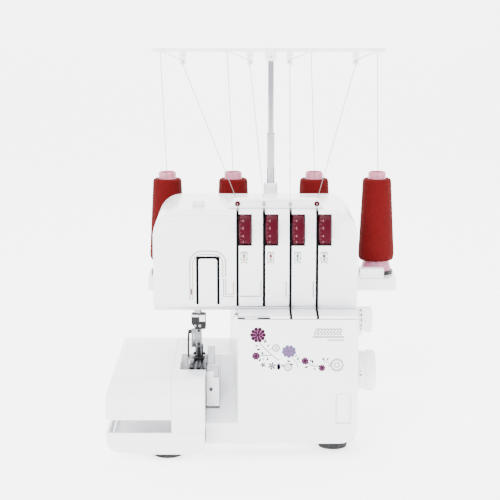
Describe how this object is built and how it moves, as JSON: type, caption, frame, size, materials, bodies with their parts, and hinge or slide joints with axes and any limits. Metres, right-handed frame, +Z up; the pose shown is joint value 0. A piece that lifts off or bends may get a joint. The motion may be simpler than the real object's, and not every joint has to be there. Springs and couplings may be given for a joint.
{
  "type": "serger overlock machine",
  "caption": "Domestic overlock sewing machine with a raised thread mast, thread cones on a rear stand, tension dials, tilting looper cover and slide-off bed extension.",
  "frame": {"origin": "on the floor under the middle of the machine's bounding box", "axes": "+Z up, -Y towards the user (the front), +X to the user's right, where the handwheel is"},
  "size_m": [0.335, 0.282, 0.443],
  "materials": {
    "white": "glossy moulded white",
    "black": "satin black",
    "maroon": "satin maroon",
    "steel": "ground steel",
    "chrome": "polished chrome",
    "dark_steel": "dark brushed",
    "cast": "as cast",
    "rubber": "matte rubber",
    "red_thread": "wound polyester thread",
    "pink": "translucent pink",
    "grey_thread": "spun thread"
  },
  "bodies": {
    "machine": {"base_pan": "white", "free_arm_cover": "white", "front_shell": "white", "rear_shell": "white", "thread_guide_plate": "white", "needle_plate": "dark_steel", "spool_stand": "white", "mast_socket": "white", "chassis": "cast", "motor": "cast", "drive_belt": "rubber", "power_inlet": "black", "lower_knife": "steel", "foot_1": "rubber", "foot_2": "rubber", "foot_3": "rubber", "foot_4": "rubber", "spool_pin_1": "black", "spool_pin_2": "black", "spool_pin_3": "black", "spool_pin_4": "black", "cone_core_1": "pink", "cone_core_2": "pink", "cone_core_3": "pink", "cone_core_4": "pink", "thread_cone_1": "red_thread", "thread_cone_2": "red_thread", "thread_cone_3": "red_thread", "thread_cone_4": "red_thread", "thread_1": "grey_thread", "thread_2": "grey_thread", "thread_3": "grey_thread", "thread_4": "grey_thread"},
    "drive": {"handwheel": "white", "main_shaft": "steel"},
    "motor_drive": {"motor_pulley": "steel"},
    "needles": {"needle_bar": "steel", "left_needle": "steel", "right_needle": "steel"},
    "upper_looper_arm": {"upper_looper": "steel"},
    "lower_looper_arm": {"lower_looper": "steel"},
    "moving_knife": {"upper_knife": "steel"},
    "feed": {"feed_dog": "steel"},
    "lifter": {"presser_lifter": "black"},
    "presser": {"presser_bar": "steel", "presser_foot": "black"},
    "pressure": {"pressure_screw": "white"},
    "stitch_length": {"stitch_length_dial": "white"},
    "differential_feed": {"differential_feed_dial": "white"},
    "cover_rod": {"cover_hinge_rod": "steel"},
    "cover": {"front_cover": "white"},
    "extension": {"bed_extension": "white"},
    "mast_lower": {"mast_lower_tube": "chrome"},
    "mast_upper": {"mast_upper_tube": "chrome", "thread_guide_bar": "white"},
    "switch": {"power_switch": "black"},
    "tension_1": {"tension_dial_1": "maroon"},
    "tension_2": {"tension_dial_2": "maroon"},
    "tension_3": {"tension_dial_3": "maroon"},
    "tension_4": {"tension_dial_4": "maroon"}
  },
  "joints": [
    {"name": "handwheel_spin", "type": "hinge", "parent": "machine", "child": "drive", "pos_m": [0.05, -0.061, 0.0857], "axis": [1, 0, 0], "continuous": true},
    {"name": "motor_spin", "type": "hinge", "parent": "machine", "child": "motor_drive", "pos_m": [0.098, 0.014, 0.07], "axis": [1, 0, 0], "continuous": true},
    {"name": "needle_bar_slide", "type": "slide", "parent": "machine", "child": "needles", "axis": [0, 0, 1], "range_m": [-0.02, 0.005]},
    {"name": "upper_looper_swing", "type": "hinge", "parent": "machine", "child": "upper_looper_arm", "pos_m": [-0.049, -0.052, 0.046], "axis": [0, -1, 0], "range_deg": [-16, 4]},
    {"name": "lower_looper_swing", "type": "hinge", "parent": "machine", "child": "lower_looper_arm", "pos_m": [-0.085, -0.062, 0.047], "axis": [0, 1, 0], "range_deg": [-8, 2]},
    {"name": "upper_knife_slide", "type": "slide", "parent": "machine", "child": "moving_knife", "axis": [0, 0, 1], "range_m": [-0.008, 0.002]},
    {"name": "feed_dog_slide", "type": "slide", "parent": "machine", "child": "feed", "axis": [0, 1, 0], "range_m": [-0.0032, 0.0008]},
    {"name": "presser_lifter_lift", "type": "hinge", "parent": "machine", "child": "lifter", "pos_m": [-0.0725, 0.009, 0.17], "axis": [1, 0, 0], "range_deg": [0, 25]},
    {"name": "presser_bar_slide", "type": "slide", "parent": "machine", "child": "presser", "axis": [0, 0, 1], "range_m": [0, 0.006]},
    {"name": "pressure_screw_turn", "type": "hinge", "parent": "machine", "child": "pressure", "pos_m": [-0.0675, -0.043, 0.269], "axis": [0, 0, 1], "range_deg": [-540, 540]},
    {"name": "stitch_length_turn", "type": "hinge", "parent": "machine", "child": "stitch_length", "pos_m": [0.115, -0.061, 0.145], "axis": [1, 0, 0], "range_deg": [-120, 120]},
    {"name": "differential_feed_turn", "type": "hinge", "parent": "machine", "child": "differential_feed", "pos_m": [0.115, 0.009, 0.12], "axis": [1, 0, 0], "range_deg": [-90, 90]},
    {"name": "cover_slide", "type": "slide", "parent": "machine", "child": "cover_rod", "axis": [1, 0, 0], "range_m": [0, 0.008]},
    {"name": "cover_tilt", "type": "hinge", "parent": "cover_rod", "child": "cover", "pos_m": [-0.0227, -0.105, 0.018], "axis": [1, 0, 0], "range_deg": [0, 80]},
    {"name": "bed_extension_slide", "type": "slide", "parent": "machine", "child": "extension", "axis": [-1, 0, 0], "range_m": [0, 0.09]},
    {"name": "mast_upper_slide", "type": "slide", "parent": "mast_lower", "child": "mast_upper", "axis": [0, 0, 1], "range_m": [-0.07, 0], "deforming": ["thread_1", "thread_2", "thread_3", "thread_4"]},
    {"name": "mast_lower_slide", "type": "slide", "parent": "machine", "child": "mast_lower", "axis": [0, 0, 1], "range_m": [-0.07, 0]},
    {"name": "power_switch_rock", "type": "hinge", "parent": "machine", "child": "switch", "pos_m": [0.1077, 0.008, 0.054], "axis": [0, -1, 0], "range_deg": [0, 12]},
    {"name": "tension_1_turn", "type": "hinge", "parent": "machine", "child": "tension_1", "pos_m": [-0.0146, -0.071, 0.2503], "axis": [1, 0, 0], "range_deg": [-150, 150]},
    {"name": "tension_2_turn", "type": "hinge", "parent": "machine", "child": "tension_2", "pos_m": [0.015, -0.071, 0.2503], "axis": [1, 0, 0], "range_deg": [-150, 150]},
    {"name": "tension_3_turn", "type": "hinge", "parent": "machine", "child": "tension_3", "pos_m": [0.0446, -0.071, 0.2503], "axis": [1, 0, 0], "range_deg": [-150, 150]},
    {"name": "tension_4_turn", "type": "hinge", "parent": "machine", "child": "tension_4", "pos_m": [0.0742, -0.071, 0.2503], "axis": [1, 0, 0], "range_deg": [-150, 150]}
  ],
  "couplings": [
    {"joint": "motor_spin", "follows": "handwheel_spin", "ratio": 2.7722},
    {"joint": "upper_looper_swing", "follows": "needle_bar_slide", "rad_per_m": 13.949},
    {"joint": "lower_looper_swing", "follows": "needle_bar_slide", "rad_per_m": 6.9743},
    {"joint": "upper_knife_slide", "follows": "needle_bar_slide", "ratio": 0.4},
    {"joint": "feed_dog_slide", "follows": "needle_bar_slide", "ratio": 0.16},
    {"joint": "mast_lower_slide", "follows": "mast_upper_slide", "ratio": 1},
    {"joint": "presser_lifter_lift", "follows": "presser_bar_slide", "rad_per_m": 72.649}
  ]
}
